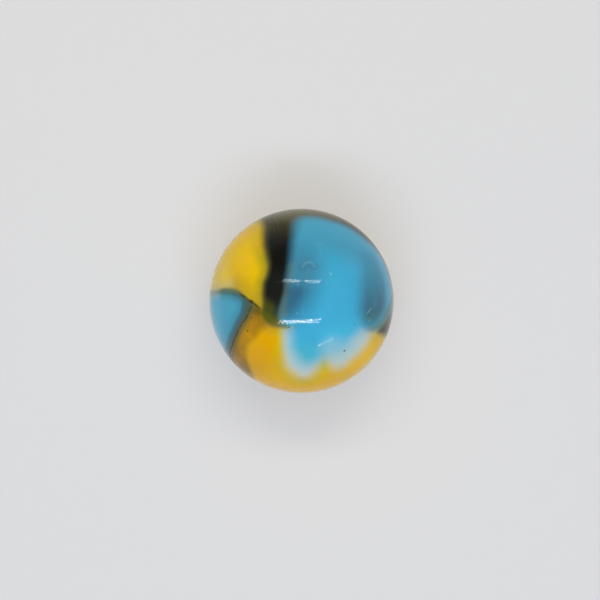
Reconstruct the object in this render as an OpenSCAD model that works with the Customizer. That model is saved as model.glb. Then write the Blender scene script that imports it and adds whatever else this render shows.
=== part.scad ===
// Glass marble: one ball of fused glass, in which streams of blue, white, yellow and black glass were
// folded together, with the crease that the fold left and the marks of play.
// The origin is the centre of the ball. +Z is up, out of the side that shows the streams best,
// +X is to the right across that side and +Y is towards its top.

/* [Ball] */
// Diameter of the ball
ball_d = 16; // [12:0.5:25]

/* [Crease] */
// Width of the crease at the surface
crease_w = 0.28; // [0.1:0.02:0.5]
// Depth of the crease
crease_depth = 0.04; // [0.02:0.01:0.1]

/* [Bruise] */
// Diameter of the moon-shaped bruise
bruise_d = 1.1; // [0.7:0.1:2]
// Width of its groove
bruise_w = 0.26; // [0.1:0.02:0.4]
// Depth of its groove
bruise_depth = 0.02; // [0.02:0.01:0.06]

/* [Pits] */
// Diameter of a pit
pit_d = 0.3; // [0.1:0.02:0.6]
// Depth of a pit
pit_depth = 0.05; // [0.02:0.01:0.1]

/* [Scratch] */
// Length of the scratch
scratch_len = 1.6; // [0.8:0.1:2.4]
// Width of the scratch at its middle
scratch_w = 0.16; // [0.08:0.02:0.3]

/* [Streams] */
// Width of the white edge along the blue glass
white_w = 1; // [0.4:0.1:2]

/* [Hidden] */
$fn = 96;
ball_r = ball_d / 2;
// A straight edge drawn over a ball cuts deepest at its middle and runs out at both ends
scratch_depth = scratch_len ^ 2 / (4 * ball_d);
// How far the cutting shapes stand clear of the ball
overrun = ball_d / 16;

// Places on the ball as seen from above, in shares of its radius
fold_shares = [[-0.95, 0.1], [-0.695, 0.1], [-0.447, -0.083]];
side_shares = [[-0.54, -0.06], [-0.66, -0.3], [-0.765, -0.6]];
bruise_share = [0.078, 0.343];
bruise_sweep = 130;
pit_shares = [[0.46, -0.538], [0.312, 0.287], [-0.58, -0.323]];
scratch_share = [0.256, -0.441];
scratch_turn = 27;

// Outlines of the streams as seen from above, in the same shares
ribbon_shares = [
    [-0.43, 1], [-0.36, 0.4], [-0.43, 0], [-0.36, -0.24], [-0.17, -0.29], [-0.2, 0], [-0.11, 0.55], [-0.09, 1]
];
blue_shares = [[-0.43, 1], [1, 1], [1, -0.32], [-0.17, -0.32]];
side_blue_shares = [
    [-1, 0.12], [-0.7, 0.1], [-0.6, 0], [-0.63, -0.13], [-0.72, -0.3], [-0.8, -0.6], [-1, -0.6]
];
lobe_shares = [[0.06, -0.4], [0.48, -0.34]];
lobe_r_share = 0.27;

function on_ball(at) = [at.x, at.y, sqrt(1 - at.x ^ 2 - at.y ^ 2)];
function unit(a) = a / norm(a);
// Radius of the round tool that leaves a dent of this width and depth
function tool_r(w, depth) = (w ^ 2 / 4 + depth ^ 2) / (2 * depth);

// Tips its children so that their +Z points out of the ball at a place
module facing(at) {
    out = on_ball(at);
    rotate(acos(out.z), [-out.y, out.x, 0])
        children();
}

// V-shaped groove that follows a circle on the ball, at an angle from the circle's axis
module ring_groove(polar, sweep, w, depth) {
    rotate_extrude(angle = sweep)
        rotate(-polar)
            translate([0, ball_r])
                polygon([[-w / 2, overrun], [-w / 2, 0], [0, -depth], [w / 2, 0], [w / 2, overrun]]);
}

// Groove along the circle that runs through three places on the ball
module crease(places) {
    a = on_ball(places[0]);
    b = on_ball(places[1]);
    c = on_ball(places[2]);
    axis = unit(cross(b - a, c - a));
    side = unit(a - (a * axis) * axis);
    across = cross(axis, side);
    multmatrix([
        [side.x, across.x, axis.x, 0],
        [side.y, across.y, axis.y, 0],
        [side.z, across.z, axis.z, 0],
        [0, 0, 0, 1]
    ])
        ring_groove(acos(a * axis), atan2(c * across, c * side), crease_w, crease_depth);
}

module bruise() {
    facing(bruise_share)
        rotate(90 - bruise_sweep / 2)
            ring_groove(asin(bruise_d / ball_d), bruise_sweep, bruise_w, bruise_depth);
}

module pit(at) {
    r = tool_r(pit_d, pit_depth);
    facing(at)
        translate([0, 0, ball_r + r - pit_depth])
            sphere(r);
}

module scratch() {
    r = tool_r(scratch_w, scratch_depth);
    facing(scratch_share)
        translate([0, 0, ball_r + r - scratch_depth])
            rotate([0, 90, scratch_turn])
                cylinder(h = ball_r, r = r, center = true);
}

module blue_lobes(grow) {
    polygon(ball_r * blue_shares);
    for (at = lobe_shares)
        translate(ball_r * at)
            circle(ball_r * lobe_r_share + grow);
}

// A stream of coloured glass: the part of the ball inside an outline, which runs right through it
module stream(colour) {
    color(colour)
        intersection() {
            sphere(ball_r);
            linear_extrude(ball_d + overrun, center = true)
                children();
        }
}

module marble() {
    difference() {
        union() {
            stream([0.1, 0.1, 0.1])
                polygon(ball_r * ribbon_shares);
            stream([0.28, 0.66, 0.82])
                difference() {
                    blue_lobes(0);
                    polygon(ball_r * ribbon_shares);
                }
            stream([0.31, 0.6, 0.72])
                polygon(ball_r * side_blue_shares);
            stream([0.75, 0.8, 0.78])
                difference() {
                    blue_lobes(white_w);
                    blue_lobes(0);
                    polygon(ball_r * ribbon_shares);
                    polygon(ball_r * side_blue_shares);
                }
            stream([0.86, 0.7, 0.15])
                difference() {
                    square(ball_d + overrun, center = true);
                    blue_lobes(white_w);
                    polygon(ball_r * ribbon_shares);
                    polygon(ball_r * side_blue_shares);
                }
        }
        crease(fold_shares);
        crease(side_shares);
        bruise();
        for (at = pit_shares)
            pit(at);
        scratch();
    }
}

marble();
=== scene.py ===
import math

import bmesh
import bpy
import numpy as np
from mathutils import Matrix, Vector


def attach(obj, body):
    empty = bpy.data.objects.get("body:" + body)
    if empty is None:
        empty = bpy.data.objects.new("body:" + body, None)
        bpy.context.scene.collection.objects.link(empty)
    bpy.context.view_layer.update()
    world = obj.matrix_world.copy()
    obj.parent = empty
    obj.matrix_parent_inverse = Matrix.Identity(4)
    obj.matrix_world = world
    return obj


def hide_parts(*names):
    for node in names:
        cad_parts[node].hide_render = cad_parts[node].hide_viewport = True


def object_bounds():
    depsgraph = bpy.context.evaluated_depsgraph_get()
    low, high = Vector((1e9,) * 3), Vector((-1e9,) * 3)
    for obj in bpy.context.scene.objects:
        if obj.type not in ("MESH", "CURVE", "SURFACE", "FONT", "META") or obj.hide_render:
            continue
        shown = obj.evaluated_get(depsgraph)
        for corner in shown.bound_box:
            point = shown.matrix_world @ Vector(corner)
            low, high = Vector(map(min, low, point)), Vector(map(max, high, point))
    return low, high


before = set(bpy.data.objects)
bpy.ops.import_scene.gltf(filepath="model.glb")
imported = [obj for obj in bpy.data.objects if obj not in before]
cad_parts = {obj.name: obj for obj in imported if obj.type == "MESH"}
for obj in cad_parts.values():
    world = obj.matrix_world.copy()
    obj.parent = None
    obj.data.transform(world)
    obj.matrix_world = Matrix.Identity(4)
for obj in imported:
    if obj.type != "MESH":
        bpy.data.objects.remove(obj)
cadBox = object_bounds()
ballRadius = (cadBox[1].z - cadBox[0].z) / 2
mm = 0.001
print("frame loaded, ball radius in mm:", round(ballRadius / mm, 3))


# The ball. Places are as seen from above, in shares of the radius. Past 1 they run on round the underside,
# whose lowest point is at 2. Widths, depths and blurs are in mm. A stream's blur has two values, for the
# upper and the lower of the blur heights.
ball = {
    "meshLevel": 7,
    "curveSteps": 6,
    "blurHeights": (0.5, 0.9),
    "streams": {  # closed outlines of the coloured glass
        "orange": {"blur": (2.0, 2.5), "edge": [  # deeper yellow at the lower left
            (-0.43, -0.28), (-0.23, -0.355), (-0.22, -0.54), (-0.19, -0.7), (-0.125, -0.835),
            (-0.255, -0.9), (-0.43, -0.83), (-0.58, -0.7), (-0.6, -0.495), (-0.515, -0.375)]},
        "amber": {"blur": (0.7, 0.9), "edge": [  # brown band between the yellow and the side
            (-0.545, -0.02), (-0.51, -0.03), (-0.447, -0.083), (-0.41, -0.115), (-0.385, -0.17),
            (-0.36, -0.23), (-0.37, -0.265), (-0.39, -0.295), (-0.47, -0.38), (-0.565, -0.47),
            (-0.59, -0.555), (-0.587, -0.64), (-0.56, -0.707), (-0.53, -0.773), (-0.51, -0.85),
            (-0.53, -0.98), (-0.6, -1.12), (-0.68, -1.16), (-0.79, -1.06), (-0.9, -0.9), (-0.93, -0.78),
            (-0.86, -0.66), (-0.8, -0.58), (-0.78, -0.44), (-0.72, -0.33), (-0.64, -0.22)]},
        "white": {"blur": (1.1, 2.4), "edge": [  # pale border of the blue
            (-0.185, -0.335), (-0.188, -0.375), (-0.187, -0.465), (-0.183, -0.55), (-0.173, -0.635),
            (-0.156, -0.695), (-0.12, -0.735), (-0.075, -0.78), (-0.015, -0.823), (0.06, -0.823),
            (0.115, -0.79), (0.155, -0.74), (0.18, -0.685), (0.212, -0.61), (0.238, -0.55),
            (0.268, -0.615), (0.312, -0.695), (0.375, -0.725), (0.43, -0.72), (0.48, -0.685),
            (0.53, -0.638), (0.578, -0.603), (0.655, -0.525), (0.695, -0.475), (0.725, -0.42),
            (0.735, -0.375), (0.72, -0.33), (0.66, -0.215), (0.42, -0.265), (0.255, -0.32),
            (0.05, -0.375), (-0.015, -0.285), (-0.115, -0.312)]},
        "notch": {"blur": (0.9, 0.9), "edge": [  # greenish gap between its two lobes
            (0.222, -0.72), (0.222, -0.68), (0.229, -0.635), (0.239, -0.585), (0.25, -0.635),
            (0.264, -0.68), (0.268, -0.72), (0.245, -0.735)]},
        "blue": {"blur": (2.0, 3.2), "edge": [
            (-0.22, 0.86), (-0.245, 0.71), (-0.27, 0.55), (-0.275, 0.33), (-0.29, 0.115),
            (-0.28, -0.05), (-0.25, -0.16), (-0.18, -0.24), (-0.15, -0.3), (-0.145, -0.365),
            (-0.134, -0.44), (-0.125, -0.515), (-0.09, -0.58), (-0.045, -0.64), (0.01, -0.683),
            (0.07, -0.693), (0.13, -0.68), (0.185, -0.655), (0.235, -0.64), (0.29, -0.62),
            (0.365, -0.6), (0.43, -0.58), (0.495, -0.54), (0.54, -0.495), (0.575, -0.435),
            (0.62, -0.385), (0.67, -0.335), (0.735, -0.28), (0.82, -0.25), (0.97, -0.22), (1.05, -0.1),
            (1.06, 0.12), (0.97, 0.45), (0.78, 0.73), (0.48, 0.95), (0.1, 1.06), (-0.16, 1.04)]},
        "blueRight": {"blur": (1.5, 1.4), "edge": [  # its sharper right end
            (0.5, 0.3), (0.52, -0.25), (0.64, -0.34), (0.735, -0.325), (0.8, -0.315), (0.86, -0.275),
            (0.92, -0.205), (0.98, -0.12), (1.12, 0.1), (0.95, 0.5), (0.7, 0.5)]},
        "blueLeft": {"blur": (0.5, 0.5), "edge": [  # its part behind the ribbon
            (-0.27, 0.55), (-0.29, 0.3), (-0.3, 0.1), (-0.31, -0.08), (-0.3, -0.17), (-0.255, -0.235),
            (-0.195, -0.268), (-0.115, -0.283), (-0.05, -0.2), (-0.03, 0.1), (-0.02, 0.4),
            (-0.08, 0.58), (-0.18, 0.62)]},
        "haze": {"blur": (1.5, 1.7), "edge": [  # milky patch in the right lobe
            (0.205, -0.54), (0.225, -0.465), (0.29, -0.41), (0.375, -0.41), (0.455, -0.42),
            (0.525, -0.395), (0.575, -0.365), (0.64, -0.33), (0.7, -0.39), (0.595, -0.56),
            (0.42, -0.65), (0.27, -0.625)]},
        "shoal": {"blur": (1.8, 1.8), "edge": [  # clearer blue above it
            (0.22, -0.33), (0.36, -0.27), (0.5, -0.23), (0.6, -0.26), (0.62, -0.36), (0.55, -0.47),
            (0.42, -0.55), (0.28, -0.54), (0.22, -0.45)]},
        "dusk": {"blur": (2.8, 2.8), "edge": [  # grey-blue beside the ribbon
            (-0.16, 0.63), (0.03, 0.57), (0.15, 0.49), (0.2, 0.39), (0.205, 0.28), (0.185, 0.15),
            (0.13, 0.0), (0.05, -0.13), (-0.08, -0.22), (-0.35, -0.22), (-0.4, 0.2), (-0.35, 0.6)]},
        "paintedTopShade": {"blur": (2.6, 2.6), "edge": [  # painted shade: the blue darkened towards the top
            (-0.05, 0.73), (0.2, 0.73), (0.45, 0.66), (0.66, 0.53), (0.72, 0.42), (0.55, 0.45),
            (0.3, 0.5), (0.0, 0.52)]},
        "ink": {"blur": (1.4, 1.4), "edge": [  # darkest blue
            (-0.22, 0.135), (-0.115, 0.17), (-0.025, 0.16), (0.03, 0.12), (0.025, 0.05), (-0.03, -0.03),
            (-0.08, -0.095), (-0.125, -0.14), (-0.18, -0.17), (-0.25, -0.19), (-0.3, -0.1),
            (-0.26, 0.06)]},
        "teal": {"blur": (2.4, 1.4), "edge": [  # deep streak at the right
            (0.68, 0.55), (0.77, 0.495), (0.84, 0.375), (0.89, 0.22), (0.905, 0.06), (0.895, -0.085),
            (0.85, -0.175), (0.785, -0.245), (0.7, -0.255), (0.65, -0.2), (0.63, -0.105), (0.63, 0.005),
            (0.63, 0.275), (0.63, 0.46)]},
        "milk": {"blur": (0.7, 0.7), "edge": [  # pale line along the ribbon
            (-0.13, 0.4), (-0.09, 0.4), (-0.095, 0.27), (-0.15, 0.1), (-0.17, -0.05), (-0.16, -0.17),
            (-0.26, -0.2), (-0.23, -0.08), (-0.19, 0.1), (-0.15, 0.27)]},
        "moss": {"blur": (0.9, 0.9), "edge": [  # green rim at the right
            (0.93, 0.33), (0.955, 0.2), (0.965, 0.06), (0.945, -0.02), (0.91, -0.1), (0.865, -0.18),
            (0.8, -0.255), (0.72, -0.295), (0.76, -0.32), (0.86, -0.32), (0.93, -0.24), (1.02, -0.1),
            (1.04, 0.1), (0.99, 0.35)]},
        "wedge": {"blur": (0.9, 0.9), "edge": [  # dark corner below it
            (1.0, -0.12), (0.96, -0.15), (0.92, -0.215), (0.875, -0.27), (0.825, -0.332),
            (0.85, -0.358), (0.905, -0.383), (0.96, -0.385), (1.1, -0.34), (1.12, -0.16)]},
        "nick": {"blur": (0.6, 0.6), "edge": [  # painted shade: dark spot at the side line's end
            (-0.765, -0.61), (-0.73, -0.653), (-0.705, -0.688), (-0.698, -0.716), (-0.722, -0.707),
            (-0.752, -0.685), (-0.772, -0.65), (-0.783, -0.62)]},
        "ribbon": {"blur": (1.15, 1.8), "edge": [  # black
            (-0.475, 0.885), (-0.37, 0.86), (-0.33, 0.755), (-0.325, 0.59), (-0.315, 0.45),
            (-0.31, 0.33), (-0.325, 0.2), (-0.345, 0.1), (-0.35, 0.0), (-0.35, -0.09), (-0.33, -0.16),
            (-0.29, -0.2), (-0.27, -0.17), (-0.25, -0.085), (-0.222, 0.015), (-0.167, 0.112),
            (-0.15, 0.235), (-0.13, 0.34), (-0.105, 0.55), (-0.075, 0.735), (-0.06, 0.84), (0.0, 0.893),
            (0.105, 0.905), (0.27, 0.879), (0.505, 0.795), (0.67, 0.68), (0.81, 0.55), (0.93, 0.34),
            (0.975, 0.2), (0.99, 0.06), (1.0, -0.1), (1.03, -0.26), (1.12, -0.1), (1.12, 0.3),
            (0.93, 0.65), (0.68, 0.975), (0.3, 1.13), (-0.105, 1.215), (-0.44, 1.085), (-0.51, 0.98)]},
        "ribbonEdge": {"blur": (0.55, 1.1), "edge": [  # its sharp left side, and the tail
            (-0.47, 0.89), (-0.427, 0.81), (-0.426, 0.7), (-0.422, 0.595), (-0.402, 0.518),
            (-0.384, 0.455), (-0.369, 0.39), (-0.372, 0.325), (-0.389, 0.26), (-0.416, 0.195),
            (-0.421, 0.13), (-0.424, 0.07), (-0.42, 0.0), (-0.425, -0.06), (-0.435, -0.125),
            (-0.415, -0.19), (-0.362, -0.258), (-0.318, -0.278), (-0.262, -0.287), (-0.198, -0.286),
            (-0.145, -0.28), (-0.188, -0.242), (-0.23, -0.2), (-0.245, -0.156), (-0.234, -0.09),
            (-0.21, 0.0), (-0.176, 0.1), (-0.175, 0.24), (-0.18, 0.4), (-0.18, 0.6), (-0.19, 0.75),
            (-0.24, 0.9), (-0.4, 0.97)]},
        "sideGrey": {"blur": (0.3, 0.3), "edge": [  # patch at the left side, with its grey edge
            (-0.97, 0.105), (-0.89, 0.115), (-0.82, 0.12), (-0.755, 0.115), (-0.695, 0.1),
            (-0.627, 0.055), (-0.573, 0.018), (-0.515, -0.025), (-0.53, -0.065), (-0.553, -0.095),
            (-0.572, -0.14), (-0.609, -0.205), (-0.662, -0.285), (-0.69, -0.345), (-0.727, -0.43),
            (-0.757, -0.52), (-0.765, -0.605), (-0.8, -0.7), (-0.9, -0.74), (-1.08, -0.62),
            (-1.26, -0.34), (-1.3, -0.06), (-1.2, 0.1), (-1.05, 0.115)]},
        "sideBlue": {"blur": (0.7, 0.8), "edge": [  # the blue in it
            (-0.97, 0.09), (-0.89, 0.1), (-0.755, 0.09), (-0.7, 0.07), (-0.65, 0.045), (-0.62, 0.0),
            (-0.632, -0.1), (-0.652, -0.16), (-0.69, -0.225), (-0.73, -0.31), (-0.787, -0.445),
            (-0.82, -0.56), (-0.9, -0.66), (-1.05, -0.55), (-1.21, -0.3), (-1.25, -0.06), (-1.16, 0.08),
            (-1.05, 0.1)]},
    },
    "creases": {  # grooves where the folded glass meets
        "foldLine": [
            (-0.96, 0.10), (-0.895, 0.11), (-0.82, 0.115), (-0.755, 0.115), (-0.695, 0.10),
            (-0.627, 0.055), (-0.573, 0.018), (-0.51, -0.028), (-0.447, -0.083)],
        "sideLine": [
            (-0.54, -0.06), (-0.556, -0.09), (-0.574, -0.14), (-0.611, -0.205), (-0.664, -0.285),
            (-0.692, -0.345), (-0.728, -0.43), (-0.758, -0.52), (-0.767, -0.60)],
    },
    "creaseWidth": 0.28,
    "creaseDepth": 0.04,
    "scars": {  # fine pale lines
        "bruise": {"width": 0.42, "depth": 0.02, "pale": 0.1, "line": [
            (0.012, 0.362), (0.032, 0.392), (0.075, 0.412), (0.113, 0.4), (0.138, 0.368)]},
        "scratch": {"width": 0.22, "depth": 0.04, "pale": 0.85, "line": [
            (0.18, -0.481), (0.20, -0.47)]},
        "scratchTrail": {"width": 0.42, "depth": 0.03, "pale": 0.3, "line": [
            (0.20, -0.47), (0.268, -0.436), (0.332, -0.402)]},
        "upperTick": {"width": 0.28, "depth": 0.02, "pale": 0.22, "line": [
            (0.711, -0.126), (0.744, -0.085)]},
        "lowerTick": {"width": 0.28, "depth": 0.02, "pale": 0.12, "line": [
            (0.724, -0.216), (0.734, -0.20)]},
        "hair": {"width": 0.2, "depth": 0.01, "pale": 0.07, "line": [
            (0.643, 0.396), (0.65, 0.32), (0.643, 0.245)]},
    },
    "pits": [
        {"place": (0.46, -0.538), "width": 0.3, "depth": 0.05, "pale": False},
        {"place": (-0.58, -0.323), "width": 0.3, "depth": 0.05, "pale": False},
        {"place": (-0.538, -0.184), "width": 0.2, "depth": 0.03, "pale": False},
        {"place": (0.562, -0.256), "width": 0.16, "depth": 0.02, "pale": False},
        {"place": (-0.134, -0.28), "width": 0.2, "depth": 0.02, "pale": False},
        {"place": (0.718, -0.157), "width": 0.2, "depth": 0.02, "pale": False},
        {"place": (0.312, 0.287), "width": 0.34, "depth": 0.04, "pale": True},
        {"place": (-0.038, 0.174), "width": 0.16, "depth": 0.02, "pale": True},
        {"place": (-0.048, -0.13), "width": 0.2, "depth": 0.02, "pale": True},
        {"place": (0.567, -0.285), "width": 0.16, "depth": 0.02, "pale": True},
    ],
    "refineReach": 0.3,  # how near a mark the faces are made finer, in the first round
    "refineNarrowing": 0.75,
    "refineRounds": 2,
}


def onBall(u, v):
    share = math.hypot(u, v)
    across = min(share, 2 - share)
    up = math.copysign(math.sqrt(1 - across ** 2), 1 - share)
    return np.array((u / share * across, v / share * across, up))


def smoothLine(places, closed):  # a curve on the unit ball, through all its places
    knots = [onBall(*place) for place in places]
    count = len(knots)
    line = []
    for i in range(count if closed else count - 1):
        around = [i - 1, i, i + 1, i + 2]
        around = [k % count for k in around] if closed else [min(max(k, 0), count - 1) for k in around]
        a, b, c, d = (knots[k] for k in around)
        for t in np.arange(ball["curveSteps"]) / ball["curveSteps"]:
            point = (2 * b + (c - a) * t + (2 * a - 5 * b + 4 * c - d) * t ** 2
                     + (3 * b - a - 3 * c + d) * t ** 3) / 2
            line.append(point / np.linalg.norm(point))
    line.append(line[0] if closed else knots[-1])
    return np.array(line)


def distanceTo(line, points):  # from each point of the unit ball to the line, in mm
    nearest = np.full(len(points), np.inf)
    for a, b in zip(line[:-1], line[1:]):
        along = b - a
        share = np.clip((points - a) @ along / (along @ along), 0, 1)
        away = points - a - share[:, None] * along
        nearest = np.minimum(nearest, np.einsum("ij,ij->i", away, away))
    return np.sqrt(nearest) * ballRadius / mm


def unrolled(points):  # the ball laid flat round its top, so that an outline's inside can be told
    polar = np.arccos(np.clip(points[:, 2], -1, 1))
    turn = np.arctan2(points[:, 1], points[:, 0])
    return np.stack((polar * np.cos(turn), polar * np.sin(turn)), axis=1)


def insideOf(line, points):
    flatLine, flat = unrolled(line), unrolled(points)
    inside = np.zeros(len(points), bool)
    for (ax, ay), (bx, by) in zip(flatLine[:-1], flatLine[1:]):
        if ay == by:
            continue
        crosses = (ay > flat[:, 1]) != (by > flat[:, 1])
        inside ^= crosses & (flat[:, 0] < ax + (flat[:, 1] - ay) * (bx - ax) / (by - ay))
    return inside


def directions(coords):
    return coords / np.linalg.norm(coords, axis=1)[:, None]


def dent(distance, mark):  # rounded hollow, deepest on its line
    return mark["depth"] * (0.5 + 0.5 * np.cos(np.pi * np.clip(2 * distance / mark["width"], 0, 1)))


def pitDistance(pit, points):
    return np.linalg.norm(points - onBall(*pit["place"]), axis=1) * ballRadius / mm


def asMark(places, width, depth):
    return {"line": smoothLine(places, False), "width": width, "depth": depth}


marks = {name: asMark(places, ball["creaseWidth"], ball["creaseDepth"])
         for name, places in ball["creases"].items()}
for name, scar in ball["scars"].items():
    marks[name] = asMark(scar["line"], scar["width"], scar["depth"])


def refineNearMarks(bm):  # finer faces round the marks
    reach = ball["refineReach"]
    for _ in range(ball["refineRounds"]):
        middles = directions(np.array([(e.verts[0].co + e.verts[1].co) / 2 for e in bm.edges]))
        away = [distanceTo(mark["line"], middles) for mark in marks.values()]
        away += [pitDistance(pit, middles) for pit in ball["pits"]]
        near = np.min(away, axis=0) < reach
        chosen = [e for e, isNear in zip(bm.edges, near) if isNear]
        bmesh.ops.subdivide_edges(bm, edges=chosen, cuts=1, use_grid_fill=True)
        reach *= ball["refineNarrowing"]
    bmesh.ops.triangulate(bm, faces=bm.faces[:])


def setLayer(mesh, name, values):
    attribute = mesh.attributes.new(name, "FLOAT", "POINT")
    attribute.data.foreach_set("value", values.astype(np.float32))


def makeBall():
    bm = bmesh.new()
    bmesh.ops.create_icosphere(bm, subdivisions=ball["meshLevel"], radius=ballRadius)
    refineNearMarks(bm)
    out = directions(np.array([v.co for v in bm.verts]))
    fromMark = {name: distanceTo(mark["line"], out) for name, mark in marks.items()}
    fromPit = [pitDistance(pit, out) for pit in ball["pits"]]
    hollows = [dent(fromMark[name], mark) for name, mark in marks.items()]
    hollows += [dent(away, pit) for away, pit in zip(fromPit, ball["pits"])]
    for v, direction, hollow in zip(bm.verts, out, np.max(hollows, axis=0)):
        v.co = direction * (ballRadius - hollow * mm)
    bmesh.ops.recalc_face_normals(bm, faces=bm.faces[:])
    for face in bm.faces:
        face.smooth = True
    mesh = bpy.data.meshes.new("marbleBall")
    bm.to_mesh(mesh)
    bm.free()
    for name, flow in ball["streams"].items():  # how many blurs outside the outline
        line = smoothLine(flow["edge"], True)
        away = distanceTo(line, out)
        blur = np.interp(out[:, 2], ball["blurHeights"], flow["blur"][::-1])
        setLayer(mesh, name, np.where(insideOf(line, out), -away, away) / blur)
    for name, away in fromMark.items():  # in mm
        setLayer(mesh, name, away)
    for name, isPale in (("palePits", True), ("darkPits", False)):  # in half widths
        shares = [2 * away / pit["width"] for away, pit in zip(fromPit, ball["pits"])
                  if pit["pale"] == isPale]
        setLayer(mesh, name, np.min(shares, axis=0))
    piece = bpy.data.objects.new("marble_ball", mesh)
    bpy.context.scene.collection.objects.link(piece)
    print("ball made, triangles:", len(mesh.polygons))
    return piece


# Small helpers for nodes. A socket knows the tree that it is in.
def addNode(tree, kind, inputs=None, **settings):
    node = tree.nodes.new(kind)
    for name, value in settings.items():
        setattr(node, name, value)
    for name, value in (inputs or {}).items():
        if isinstance(value, bpy.types.NodeSocket):
            tree.links.new(value, node.inputs[name])
        else:
            node.inputs[name].default_value = value
    return node


def mathNode(operation, a, b=0.0, c=0.0, clamp=False):
    node = addNode(a.id_data, "ShaderNodeMath", {0: a, 1: b, 2: c}, operation=operation, use_clamp=clamp)
    return node.outputs[0]


def chained(operation, values):
    result = values[0]
    for value in values[1:]:
        result = mathNode(operation, result, value)
    return result


def mixColour(share, a, b):
    node = addNode(share.id_data, "ShaderNodeMix", {0: share, 6: a, 7: b}, data_type="RGBA")
    return node.outputs[2]


def spread(value, low, high, toLow=0.0, toHigh=1.0):
    node = addNode(value.id_data, "ShaderNodeMapRange", {0: value, 1: low, 2: high, 3: toLow, 4: toHigh},
                   interpolation_type="SMOOTHSTEP")
    return node.outputs[0]


def newTree(name):
    material = bpy.data.materials.new(name)
    material.use_nodes = True
    material.node_tree.nodes.clear()
    return material, material.node_tree


def colour(red, green, blue):  # screen values from 0 to 255, as the renderer's own light values
    shares = [c / 255 for c in (red, green, blue)]
    return [s / 12.92 if s <= 0.04045 else ((s + 0.055) / 1.055) ** 2.4 for s in shares] + [1.0]


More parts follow.
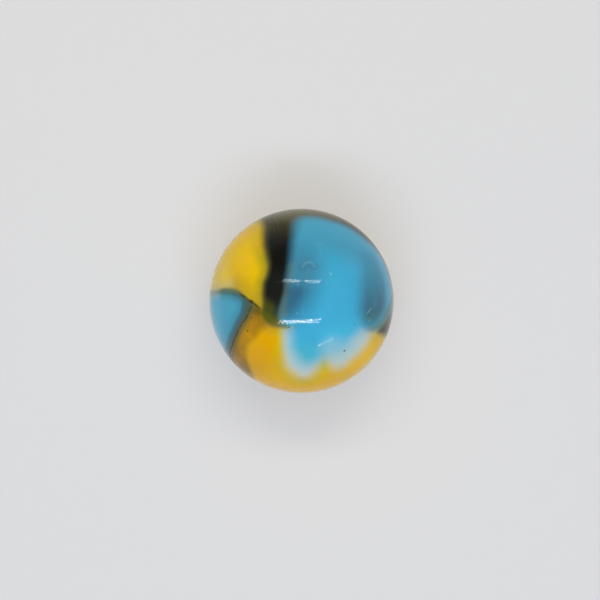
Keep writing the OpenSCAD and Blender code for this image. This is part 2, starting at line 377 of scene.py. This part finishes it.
# The glass. A fade says what it follows, where it starts and where it ends, and then, if they aren't 0 and 1,
# its shares at these two. It follows a place across or up the ball in mm, a grain, a layer of the mesh or the
# distance from a level in one.
glass = {
    "colours": {
        "yellow": colour(237, 193, 12),
        "yellowHigh": colour(246, 204, 4),
        "orange": colour(230, 169, 4),
        "yellowLow": colour(240, 188, 2),
        "yellowRimPaintedLight": colour(244, 187, 4),
        "yellowRight": colour(253, 199, 6),
        "citron": colour(166, 152, 30),
        "citronLow": colour(136, 124, 32),
        "lime": colour(188, 190, 24),
        "mustard": colour(186, 157, 36),
        "bone": colour(192, 182, 132),
        "cream": colour(244, 226, 118),
        "amberHigh": colour(158, 116, 30),
        "amber": colour(182, 134, 14),
        "corner": colour(98, 82, 28),
        "brown": colour(146, 108, 28),
        "oliveBrown": colour(98, 98, 56),
        "white": colour(199, 213, 205),
        "sky": colour(67, 171, 209),
        "skyLow": colour(74, 181, 204),
        "skyPale": colour(104, 188, 214),
        "shoal": colour(74, 184, 217),
        "dusk": colour(66, 134, 162),
        "duskLow": colour(54, 130, 160),
        "ink": colour(51, 101, 130),
        "inkLeft": colour(60, 110, 122),
        "teal": colour(54, 104, 124),
        "tealLow": colour(60, 117, 124),
        "black": colour(21, 21, 18),
        "blackHigh": colour(64, 60, 10),
        "blackTopPaintedReflection": colour(104, 100, 64),
        "blackLow": colour(28, 29, 26),
        "moss": colour(80, 124, 114),
        "paintedBruiseShadow": colour(52, 108, 136),
        "shoulder": colour(72, 74, 40),
        "olive": colour(88, 92, 26),
        "slate": colour(58, 70, 58),
        "sage": colour(98, 108, 48),
        "tip": colour(116, 104, 48),
        "tipGreen": colour(94, 116, 84),
        "paintedTailShadow": colour(203, 156, 34),
        "wedge": colour(66, 66, 58),
        "side": colour(71, 168, 197),
        "sideRim": colour(80, 182, 214),
        "sideGreen": colour(70, 132, 132),
        "sideDeep": colour(50, 98, 112),
        "grey": colour(78, 96, 92),
        "greyOlive": colour(85, 94, 70),
        "foldSoft": colour(92, 116, 82),
        "paintedRecessShade": colour(46, 42, 22),
        "scuff": colour(170, 220, 240),
    },
    "grains": {
        "wavering": {"Scale": 420, "Detail": 3},
        "clouds": {"Scale": 380, "Detail": 3},
        "mottling": {"Scale": 900, "Detail": 3},
        "streaks": {"Scale": 520, "Detail": 3, "Roughness": 0.55, "Distortion": 0.6},
        "patches": {"Scale": 2200, "Detail": 2},
        "polish": {"Scale": 900, "Detail": 4},
    },
    "stretches": {"streaks": (1.0, 0.35, 1.0)},  # grains that are drawn out
    "levels": {  # a layer of the mesh, and a level in it
        "whiteRim": ("white", 0.27),
        "ribbonRim": ("ribbonEdge", -0.3),
        "sideBlueRim": ("sideBlue", 0.0),
    },
    "fades": {
        # yellow
        "yellowHigh": ("up", 2.4, 5.0),
        "yellowLow": ("up", -3.6, -5.4),
        "rightEnd": ("across", 3.0, 4.6),
        "rightLow": ("up", -3.0, -4.2),
        "cloud": ("clouds", 0.45, 0.75, 0.0, 0.35),
        "bottom": ("up", -5.2, -6.8),
        "bottomRight": ("across", -4.5, -2.0, 0.1, 1.0),
        "fringe": ("ribbonEdge", 1.7, 0.35, 0.0, 0.8),
        "fringeLow": ("up", -1.8, -0.8),
        "fringeHigh": ("up", 5.2, 3.4, 0.35, 1.0),
        "citronLow": ("up", 1.2, -0.4),
        "underTail": ("ribbonEdge", 1.8, 0.4, 0.0, 0.9),
        "tailFoot": ("up", -1.8, -2.2),
        "outward": ("across", -5.2, -6.7),
        "creamOut": ("across", -5.5, -6.9, 0.0, 0.36),
        "creamLow": ("up", 5.0, 3.0),
        # amber
        "amberLow": ("up", -1.5, -3.2),
        "brownLow": ("up", -3.6, -5.0),
        "mottle": ("mottling", 0.4, 0.65, 0.0, 0.25),
        "corner": ("foldLine", 1.1, 0.1),
        "oliveBrown": ("sideLine", 0.8, 0.05, 0.0, 0.9),
        # white
        "lime": ("whiteRim", 0.6, 0.0, 0.0, 0.36),
        "limeLeft": ("across", 2.8, 1.6, 0.25, 1.0),
        # blue
        "skyLow": ("up", -2.8, -4.6),
        "duskLow": ("up", 1.8, 0.2),
        "inkLeft": ("across", -0.5, -1.8),
        "tealDown": ("up", 6.4, -2.0),
        "tealLow": ("up", -0.6, -1.6),
        "streak": ("streaks", 0.5, 0.75, 0.0, 0.14),
        # black
        "blackLow": ("up", 3.2, 1.8),
        "blackHigh": ("up", 4.9, 7.6),
        "blackTopPaintedReflection": ("up", 6.5, 7.7),
        "shoulder": ("ribbonRim", 0.7, 0.0, 0.0, 0.8),
        "shoulderLeft": ("across", -2.2, -2.5),
        "slateRight": ("across", -2.7, -2.1),
        "slateHigh": ("up", -1.8, -0.8),
        "tailFirst": ("slant", -0.85, -2.1, 0.0, 0.6),
        "tailFull": ("slant", -2.2, -2.9),
        "tip": ("up", -1.6, -2.1),
        "tipRight": ("across", -2.4, -1.7),
        # patch at the side
        "sideRim": ("across", -6.6, -7.3),
        "sideGreen": ("foldLine", 1.1, 0.1, 0.0, 0.65),
        "greyOlive": ("sideGrey", -1.6, 0.0),
        "sideShade": ("sideBlue", -1.8, 0.0, 0.0, 0.42),
        "sideShadeIn": ("across", -6.8, -5.6, 0.2, 1.0),
        "sideDeep": ("sideBlueRim", 0.5, 0.0, 0.0, 0.6),
        # creases and marks
        "offRim": ("across", -7.5, -6.7),
        "atRim": ("across", -6.7, -7.5),
        "foldSoft": ("foldLine", 0.4, 0.04, 0.0, 0.75),
        "foldSoftOut": ("across", -4.4, -5.6),
        "foldPale": ("foldLine", 1.0, 0.0, 0.0, 0.42),
        "fold": ("foldLine", 0.18, 0.05),
        "foldIn": ("across", -5.7, -5.0),
        "foldEnd": ("across", -3.5, -4.2, 0.45, 1.0),
        "patchy": ("patches", 0.35, 0.6, 0.45, 0.95),
        "sideLine": ("sideLine", 0.1, 0.02),
        "bruise": ("bruise", 0.55, 0.2, 0.0, 0.3),
        "aboveBruise": ("up", 3.1, 3.3, 0.0, 0.3),
        "palePits": ("palePits", 1.0, 0.2, 0.0, 0.32),
        "darkPits": ("darkPits", 1.0, 0.25, 0.0, 0.8),
        # finish
        "rough": ("polish", 0.35, 0.75, 0.02, 0.06),
    },
    "strengths": {  # of the streams that let the glass below show through
        "notch": 0.6, "paintedTopShade": 0.4, "haze": 0.32, "moss": 0.75, "sage": 0.22, "milk": 0.045, "nick": 0.75},
    "edgeWaver": 0.16,
    "tailSlant": 0.5,
    "foldReach": (2.2, 1.3),  # how far the fold shades the yellow, in mm, and that at its outer end
    "foldShade": (1.0, 0.1, 0.0, 0.78),
    "scarCore": 0.2,
    "ior": 1.5,
    "gloss": 0.14,
    "coat": 0.25,
    "coatRoughness": 0.03,
}
glassMaterial, glassTree = newTree("marbleGlass")
where = addNode(glassTree, "ShaderNodeTexCoord").outputs["Object"]
split = addNode(glassTree, "ShaderNodeSeparateXYZ", {0: where})
axes = {"across": mathNode("DIVIDE", split.outputs[0], mm), "up": mathNode("DIVIDE", split.outputs[1], mm)}
axes["slant"] = mathNode("MULTIPLY_ADD", axes["across"], glass["tailSlant"], axes["up"])


def layer(name):
    return addNode(glassTree, "ShaderNodeAttribute", attribute_name=name).outputs["Fac"]


def grain(name):
    place = where
    if name in glass["stretches"]:
        stretch = addNode(glassTree, "ShaderNodeVectorMath", {0: where, 1: glass["stretches"][name]},
                          operation="MULTIPLY")
        place = stretch.outputs[0]
    return addNode(glassTree, "ShaderNodeTexNoise", {"Vector": place, **glass["grains"][name]}).outputs[0]


def field(name):
    if name in axes:
        return axes[name]
    if name in glass["grains"]:
        return grain(name)
    if name in glass["levels"]:
        source, level = glass["levels"][name]
        return mathNode("ABSOLUTE", mathNode("SUBTRACT", layer(source), level))
    return layer(name)


def fade(*names):  # the named fades, multiplied
    shares = []
    for name in names:
        source, *ends = glass["fades"][name]
        shares.append(spread(field(source), *ends))
    return chained("MULTIPLY", shares)


waver = mathNode("SUBTRACT", grain("wavering"), 0.5)


def stream(name, strength=1.0):  # full half a blur inside the stream's outline, 0 half a blur outside
    shifted = mathNode("MULTIPLY_ADD", waver, glass["edgeWaver"], layer(name))
    return spread(shifted, 0.5, -0.5, 0.0, strength)


def tint(base, share, shade):  # one colour with a share of another over it
    base, shade = (glass["colours"][c] if isinstance(c, str) else c for c in (base, shade))
    return mixColour(share, base, shade)


def yellowGlass():
    paint = tint("yellow", fade("yellowHigh"), "yellowHigh")
    paint = tint(paint, fade("yellowLow"), "yellowLow")
    paint = tint(paint, fade("rightEnd", "rightLow"), "yellowRight")
    paint = tint(paint, stream("orange"), "orange")
    paint = tint(paint, fade("cloud"), "orange")
    # painted light: the yellow a little brighter near the bottom rim, where the lamps light it less
    paint = tint(paint, fade("bottom", "bottomRight"), "yellowRimPaintedLight")
    citron = tint("citron", fade("citronLow"), "citronLow")
    paint = tint(paint, fade("fringe", "fringeLow", "fringeHigh"), citron)
    # painted shadow: the orange darkened just below the tail
    paint = tint(paint, fade("underTail", "tailFoot"), "paintedTailShadow")
    outward = fade("outward")  # towards the side, where the fold turns pale
    reach = spread(outward, 0.0, 1.0, *glass["foldReach"])
    nearFold = spread(mathNode("DIVIDE", layer("foldLine"), reach), *glass["foldShade"])
    paint = tint(paint, nearFold, tint("mustard", outward, "bone"))
    return tint(paint, fade("creamOut", "creamLow"), "cream")


def amberGlass():
    paint = tint("amberHigh", fade("amberLow"), "amber")
    paint = tint(paint, fade("brownLow"), "brown")
    paint = tint(paint, fade("mottle"), "orange")
    paint = tint(paint, fade("corner"), "corner")
    return tint(paint, fade("oliveBrown"), "oliveBrown")


def blueGlass():
    paint = tint("sky", fade("skyLow"), "skyLow")
    # painted shade: the dusk colour laid over the blue towards the top
    paint = tint(paint, stream("paintedTopShade", glass["strengths"]["paintedTopShade"]), "dusk")
    paint = tint(paint, stream("dusk"), tint("dusk", fade("duskLow"), "duskLow"))
    paint = tint(paint, stream("ink"), tint("ink", fade("inkLeft"), "inkLeft"))
    deep = mathNode("MULTIPLY", stream("teal"), fade("tealDown"))
    paint = tint(paint, deep, tint("teal", fade("tealLow"), "tealLow"))
    paint = tint(paint, stream("shoal"), "shoal")
    paint = tint(paint, stream("haze", glass["strengths"]["haze"]), "white")
    return tint(paint, fade("streak"), "skyPale")


def blackGlass():
    paint = tint("black", fade("blackLow"), "blackLow")
    paint = tint(paint, fade("blackHigh"), "blackHigh")
    # painted reflection: the black lightened near the top rim
    paint = tint(paint, fade("blackTopPaintedReflection"), "blackTopPaintedReflection")
    paint = tint(paint, fade("shoulder", "shoulderLeft"), "shoulder")
    tail = tint("olive", fade("slateRight", "slateHigh"), "slate")
    paint = tint(paint, fade("tailFirst"), tail)
    paint = tint(paint, fade("tailFull"), tail)
    return tint(paint, fade("tip"), tint("tip", fade("tipRight"), "tipGreen"))


def addSidePatch(paint):
    paint = tint(paint, stream("sideGrey"), tint("grey", fade("greyOlive"), "greyOlive"))
    side = tint("side", fade("sideRim"), "sideRim")
    side = tint(side, fade("sideGreen", "offRim"), "sideGreen")
    side = tint(side, fade("sideShade", "sideShadeIn"), "sideDeep")
    paint = tint(paint, stream("sideBlue"), side)
    inner = mathNode("MULTIPLY", fade("sideDeep"), stream("sideGrey"))
    return tint(paint, inner, "sideDeep")


def addMarks(paint):
    paint = tint(paint, fade("foldSoft", "foldSoftOut", "offRim"), "foldSoft")
    paint = tint(paint, fade("foldPale", "atRim"), "bone")
    # painted shade: dark lines along the two creases, and a dark spot at the side line's end
    paint = tint(paint, fade("fold", "foldIn", "foldEnd", "patchy"), "paintedRecessShade")
    paint = tint(paint, fade("sideLine", "patchy"), "paintedRecessShade")
    paint = tint(paint, stream("nick", glass["strengths"]["nick"]), "paintedRecessShade")
    # painted shadow inside the bruise's arc
    bruiseShadowMask = mathNode("SUBTRACT", fade("bruise"), fade("aboveBruise"), clamp=True)
    paint = tint(paint, bruiseShadowMask, "paintedBruiseShadow")
    for name, scar in ball["scars"].items():
        half = scar["width"] / 2
        pale = spread(layer(name), half, glass["scarCore"] * half, 0.0, scar["pale"])
        paint = tint(paint, pale, "scuff")
    paint = tint(paint, fade("palePits"), "scuff")
    # painted shade in the dark pits
    return tint(paint, fade("darkPits"), "paintedRecessShade")


def makeGlass():
    paint = tint(yellowGlass(), stream("amber"), amberGlass())
    paint = tint(paint, stream("white"), "white")
    paint = tint(paint, fade("lime", "limeLeft"), "lime")
    paint = tint(paint, stream("notch", glass["strengths"]["notch"]), "lime")
    blue = chained("MAXIMUM", [stream("blue"), stream("blueRight"), stream("blueLeft")])
    paint = tint(paint, blue, blueGlass())
    paint = tint(paint, stream("moss", glass["strengths"]["moss"]), "moss")
    ribbon = chained("MAXIMUM", [stream("ribbon"), stream("ribbonEdge")])
    paint = tint(paint, ribbon, blackGlass())
    paint = tint(paint, stream("wedge"), "wedge")
    paint = tint(paint, stream("milk", glass["strengths"]["sage"]), "sage")
    paint = tint(paint, stream("milk", glass["strengths"]["milk"]), "white")
    paint = addMarks(addSidePatch(paint))
    keen = mathNode("SUBTRACT", blue, ribbon, clamp=True)  # the blue glass shines most
    coat = mathNode("MULTIPLY", mathNode("MAXIMUM", keen, stream("sideGrey")), glass["coat"])
    shader = addNode(glassTree, "ShaderNodeBsdfPrincipled", {
        "Base Color": paint, "Roughness": fade("rough"), "IOR": glass["ior"],
        "Specular IOR Level": glass["gloss"], "Coat Weight": coat,
        "Coat Roughness": glass["coatRoughness"], "Coat IOR": glass["ior"]})
    addNode(glassTree, "ShaderNodeOutputMaterial", {"Surface": shader.outputs[0]})
    print("glass material made, nodes:", len(glassTree.nodes))
    return glassMaterial


marblePiece = makeBall()
marblePiece.data.materials.append(makeGlass())
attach(marblePiece, "root")
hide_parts("marble")


# Floor: a pale sheet that the ball lies on, with part of its white its own so that the shadow stays light
floorSheet = {"radius": 0.6, "segments": 96, "colour": colour(221, 221, 221), "ownWhite": 0.45}


def makePaper():
    material, tree = newTree("floorPaper")
    paper = addNode(tree, "ShaderNodeBsdfDiffuse", {"Color": floorSheet["colour"]})
    white = addNode(tree, "ShaderNodeEmission", {"Color": floorSheet["colour"], "Strength": 1.0})
    path = addNode(tree, "ShaderNodeLightPath")
    seen = mathNode("ADD", path.outputs["Is Camera Ray"], path.outputs["Is Glossy Ray"])
    seen = mathNode("ADD", seen, path.outputs["Is Transmission Ray"], clamp=True)
    share = mathNode("MULTIPLY", seen, floorSheet["ownWhite"])
    mix = addNode(tree, "ShaderNodeMixShader", {0: share, 1: paper.outputs[0], 2: white.outputs[0]})
    addNode(tree, "ShaderNodeOutputMaterial", {"Surface": mix.outputs[0]})
    return material


def makeFloor():
    bm = bmesh.new()
    bmesh.ops.create_circle(bm, cap_ends=True, radius=floorSheet["radius"], segments=floorSheet["segments"])
    bmesh.ops.translate(bm, verts=bm.verts[:], vec=(0, 0, -ballRadius))
    mesh = bpy.data.meshes.new("floorSheet")
    bm.to_mesh(mesh)
    bm.free()
    mesh.materials.append(makePaper())
    sheet = bpy.data.objects.new("floor_sheet", mesh)
    bpy.context.scene.collection.objects.link(sheet)
    return sheet


makeFloor()
print("floor made")


# Light: a wide soft panel overhead, a warm and a cool soft strip either side of it, and rows of slanted bars
# that only show in the glass. A row is given by where the ball mirrors it, in shares of the radius: its span,
# its height at both ends, how far its corners swing up and down, and the pitch between them.
light = {
    "worldLevel": (0.1, 0.7),  # above, and at the horizon
    "worldGlow": 0.36,
    "panel": {"size": (0.6, 0.6), "height": 0.5, "power": 1.45},
    "strips": [
        {"lean": 26, "hue": (1.14, 1.0, 0.78)},
        {"lean": -26, "hue": (0.82, 1.0, 1.34)},
    ],
    "strip": {"size": (0.24, 0.06), "distance": 0.35, "power": 0.36},
    "rows": [
        {"span": (-0.20, -0.015), "heights": (0.214, 0.211), "swing": 0.014, "pitch": 0.026,
         "level": 64, "hue": (0.94, 1.0, 0.96)},
        {"span": (0.03, 0.2), "heights": (0.208, 0.202), "swing": 0.014, "pitch": 0.026,
         "level": 45, "hue": (0.84, 1.0, 1.03)},
        {"span": (-0.25, 0.195), "heights": (-0.225, -0.214), "swing": 0.019, "pitch": 0.0235,
         "level": 84, "hue": (1.0, 0.95, 0.92)},
        {"span": (-0.29, -0.205), "heights": (0.198, 0.202), "swing": 0.0, "pitch": 0.085,
         "level": 1.6, "hue": (1.0, 1.0, 1.0)},
    ],
    "barDistance": 0.22,
    "barWidth": 0.002,
}


def addLamp(name, place, size, power, hue=(1, 1, 1), along=(1, 0, 0)):
    lamp = bpy.data.lights.new(name, "AREA")
    lamp.shape = "RECTANGLE"
    lamp.size, lamp.size_y = size
    lamp.energy = power
    lamp.color = hue
    item = bpy.data.objects.new(name, lamp)
    back = Vector(place).normalized()  # lamps shine at the ball's middle
    side = Vector(along)
    side = (side - side.dot(back) * back).normalized()
    turn = Matrix((side, back.cross(side), back)).transposed()
    item.matrix_world = Matrix.LocRotScale(Vector(place), turn, None)
    bpy.context.scene.collection.objects.link(item)
    return item


def mirrored(u, v):  # where the lamp is that the ball shows at this place
    up = math.sqrt(1 - u ** 2 - v ** 2)
    return Vector((2 * up * u, 2 * up * v, 2 * up ** 2 - 1)) * light["barDistance"]


def addRow(row):
    start, end = row["span"]
    first, last = row["heights"]
    count = round((end - start) / row["pitch"])
    corners = []
    for i in range(count + 1):
        swing = row["swing"] if i % 2 else -row["swing"]
        height = first + (last - first) * i / count
        corners.append(mirrored(start + (end - start) * i / count, height + swing))
    for a, b in zip(corners[:-1], corners[1:]):
        size = ((b - a).length, light["barWidth"])
        power = row["level"] * math.pi * size[0] * size[1]
        bar = addLamp("rowBar", (a + b) / 2, size, power, row["hue"], b - a)
        bar.visible_diffuse = False


def addSoftLamp(name, place, kind, hue=(1, 1, 1)):
    lamp = addLamp(name, place, kind["size"], kind["power"], hue)
    lamp.visible_glossy = False


def makeWorld():
    world = bpy.data.worlds.new("studioWorld")
    world.use_nodes = True
    tree = world.node_tree
    skyward = addNode(tree, "ShaderNodeTexCoord").outputs["Generated"]
    skyward = addNode(tree, "ShaderNodeSeparateXYZ", {0: skyward}).outputs[2]
    glow = spread(skyward, light["worldGlow"], 0.0, *light["worldLevel"])  # paler at the horizon
    tree.links.new(glow, tree.nodes["Background"].inputs["Strength"])
    tree.nodes["Background"].inputs["Color"].default_value = (1, 1, 1, 1)
    bpy.context.scene.world = world


addSoftLamp("softPanel", (0, 0, light["panel"]["height"]), light["panel"])
for strip in light["strips"]:
    lean = math.radians(strip["lean"])
    stripPlace = Vector((0, math.sin(lean), math.cos(lean))) * light["strip"]["distance"]
    addSoftLamp("softStrip", stripPlace, light["strip"], strip["hue"])
for row in light["rows"]:
    addRow(row)
makeWorld()
print("lights made")


# Camera: straight above the ball, framed so that the ball takes its share of the picture
view = {"height": 0.5, "sensor": 36.0, "frame": 600, "ballRadiusPixels": 92.2, "ballPixels": (301.55, 300.85),
        "clip": (0.01, 5)}


def makeCamera():
    data = bpy.data.cameras.new("topCamera")
    data.sensor_width = view["sensor"]
    outline = ballRadius / math.sqrt(view["height"] ** 2 - ballRadius ** 2)
    data.lens = view["ballRadiusPixels"] / outline * view["sensor"] / view["frame"]
    data.clip_start, data.clip_end = view["clip"]
    camera = bpy.data.objects.new("topCamera", data)
    perPixel = view["height"] * view["sensor"] / view["frame"] / data.lens
    half = view["frame"] / 2
    camera.location = ((half - view["ballPixels"][0]) * perPixel, (view["ballPixels"][1] - half) * perPixel,
                       view["height"])
    bpy.context.scene.collection.objects.link(camera)
    bpy.context.scene.camera = camera


makeCamera()
bpy.context.scene.view_settings.view_transform = "Standard"
print("camera made")
